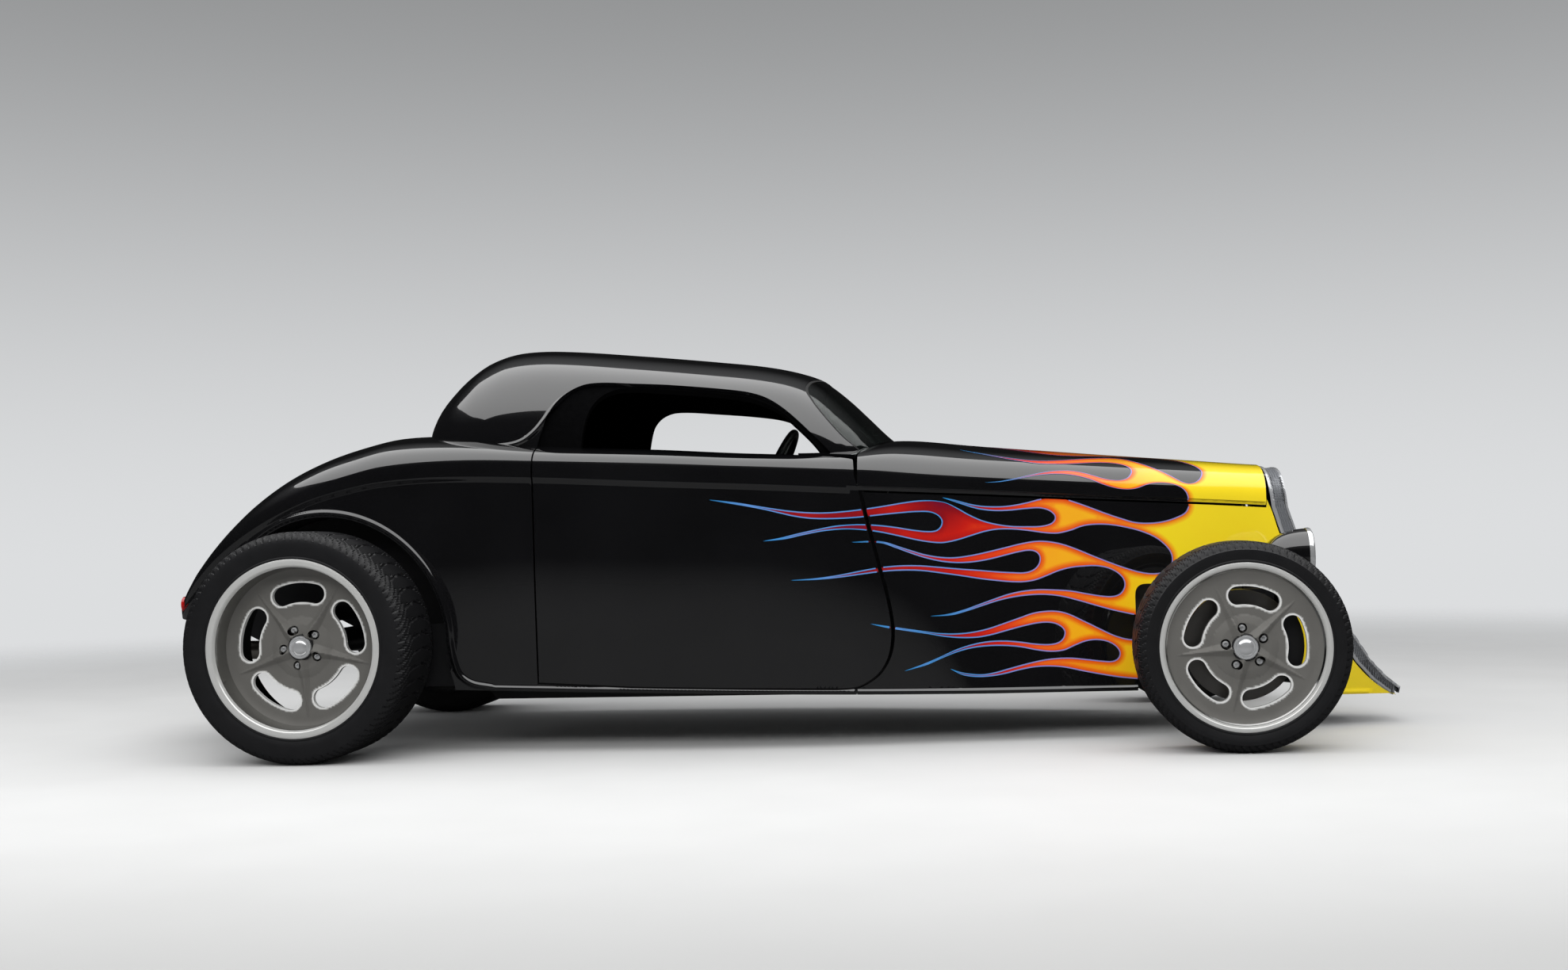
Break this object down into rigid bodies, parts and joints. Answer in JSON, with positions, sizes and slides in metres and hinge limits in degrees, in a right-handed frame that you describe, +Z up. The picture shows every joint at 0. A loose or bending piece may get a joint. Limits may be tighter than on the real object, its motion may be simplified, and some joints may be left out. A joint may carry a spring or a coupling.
{
  "type": "hot rod coupe",
  "caption": "Chopped two-door hot rod coupe with rear-hinged doors, a narrow upright nose, low exposed front wheels and wide rear wheels in round arches.",
  "frame": {"origin": "on the ground, under the middle of the car's length and width", "axes": "+X forwards, +Y to the car's left, +Z up"},
  "size_m": [4.1215, 1.856, 1.3149],
  "materials": {
    "body_paint": "gloss black with a yellow nose and flames",
    "glass": "clear, faintly tinted",
    "chrome": "polished",
    "grille_metal": "satin bars",
    "lamp_red": "red lens",
    "trim_black": "dark trim",
    "seat_leather": "black leather",
    "wheel_rim_black": "black, wrapped rim",
    "chassis_black": "satin black",
    "engine_alloy": "cast",
    "exhaust_steel": "polished tube",
    "disc_iron": "machined",
    "wheel_alloy": "grey cast centre with polished lips",
    "tyre": "matte rubber"
  },
  "bodies": {
    "body": {"chassis_frame": "chassis_black", "floor_pan": "trim_black", "rear_body": "body_paint", "wheel_tubs": "wheel_alloy", "side_panel_right": "body_paint", "side_panel_left": "body_paint", "hardtop": "body_paint", "windshield": "glass", "rear_window": "glass", "grille_shell": "chrome", "grille_bars": "grille_metal", "headlights": "chrome", "tail_lights": "lamp_red", "plate_bracket": "chassis_black", "dashboard": "trim_black", "seat_right": "seat_leather", "seat_left": "seat_leather", "steering_column": "chassis_black", "engine_block": "engine_alloy", "radiator": "engine_alloy", "exhaust_pipes": "exhaust_steel", "fuel_tank": "engine_alloy", "propeller_shaft": "chassis_black", "rear_axle": "chassis_black", "front_suspension_right": "chassis_black", "front_suspension_left": "chassis_black"},
    "door_right": {"door_right": "body_paint"},
    "door_left": {"door_left": "body_paint"},
    "hood": {"hood_top": "body_paint"},
    "deck_lid": {"deck_lid": "body_paint"},
    "steering_wheel": {"steering_wheel": "wheel_rim_black"},
    "knuckle_right": {"knuckle_right": "chassis_black"},
    "knuckle_left": {"knuckle_left": "chassis_black"},
    "wheel_front_right": {"wheel_front_right": "wheel_alloy", "tyre_front_right": "tyre", "brake_disc_front_right": "disc_iron"},
    "wheel_front_left": {"wheel_front_left": "wheel_alloy", "tyre_front_left": "tyre", "brake_disc_front_left": "disc_iron"},
    "wheel_rear_right": {"wheel_rear_right": "wheel_alloy", "tyre_rear_right": "tyre"},
    "wheel_rear_left": {"wheel_rear_left": "wheel_alloy", "tyre_rear_left": "tyre"}
  },
  "joints": [
    {"name": "door_right_hinge", "type": "hinge", "parent": "body", "child": "door_right", "pos_m": [-0.698, -0.697, 0.5], "axis": [0, 0, -1], "range_deg": [0, 60]},
    {"name": "door_left_hinge", "type": "hinge", "parent": "body", "child": "door_left", "pos_m": [-0.698, 0.697, 0.5], "axis": [0, 0, 1], "range_deg": [0, 60]},
    {"name": "hood_hinge", "type": "hinge", "parent": "body", "child": "hood", "pos_m": [1.618, 0, 0.868], "axis": [0, 1, 0], "range_deg": [0, 45]},
    {"name": "deck_lid_hinge", "type": "hinge", "parent": "body", "child": "deck_lid", "pos_m": [-1.238, 0, 1.04], "axis": [0, 1, 0], "range_deg": [0, 45]},
    {"name": "steer_right", "type": "hinge", "parent": "body", "child": "knuckle_right", "pos_m": [1.453, -0.696, 0.31], "axis": [0, 0, 1], "range_deg": [-30, 30]},
    {"name": "steer_left", "type": "hinge", "parent": "body", "child": "knuckle_left", "pos_m": [1.453, 0.696, 0.31], "axis": [0, 0, 1], "range_deg": [-30, 30]},
    {"name": "steering_wheel_turn", "type": "hinge", "parent": "body", "child": "steering_wheel", "pos_m": [-0.045, 0.345, 0.89], "axis": [-0.8988, 0, 0.4384], "range_deg": [-450, 450]},
    {"name": "wheel_front_right_spin", "type": "hinge", "parent": "knuckle_right", "child": "wheel_front_right", "pos_m": [1.453, -0.758, 0.31], "axis": [0, 1, 0], "continuous": true},
    {"name": "wheel_front_left_spin", "type": "hinge", "parent": "knuckle_left", "child": "wheel_front_left", "pos_m": [1.453, 0.758, 0.31], "axis": [0, 1, 0], "continuous": true},
    {"name": "wheel_rear_right_spin", "type": "hinge", "parent": "body", "child": "wheel_rear_right", "pos_m": [-1.392, -0.778, 0.357], "axis": [0, 1, 0], "continuous": true},
    {"name": "wheel_rear_left_spin", "type": "hinge", "parent": "body", "child": "wheel_rear_left", "pos_m": [-1.392, 0.778, 0.357], "axis": [0, 1, 0], "continuous": true}
  ],
  "couplings": [
    {"joint": "steer_left", "follows": "steer_right", "ratio": 1},
    {"joint": "steering_wheel_turn", "follows": "steer_right", "ratio": 15}
  ]
}
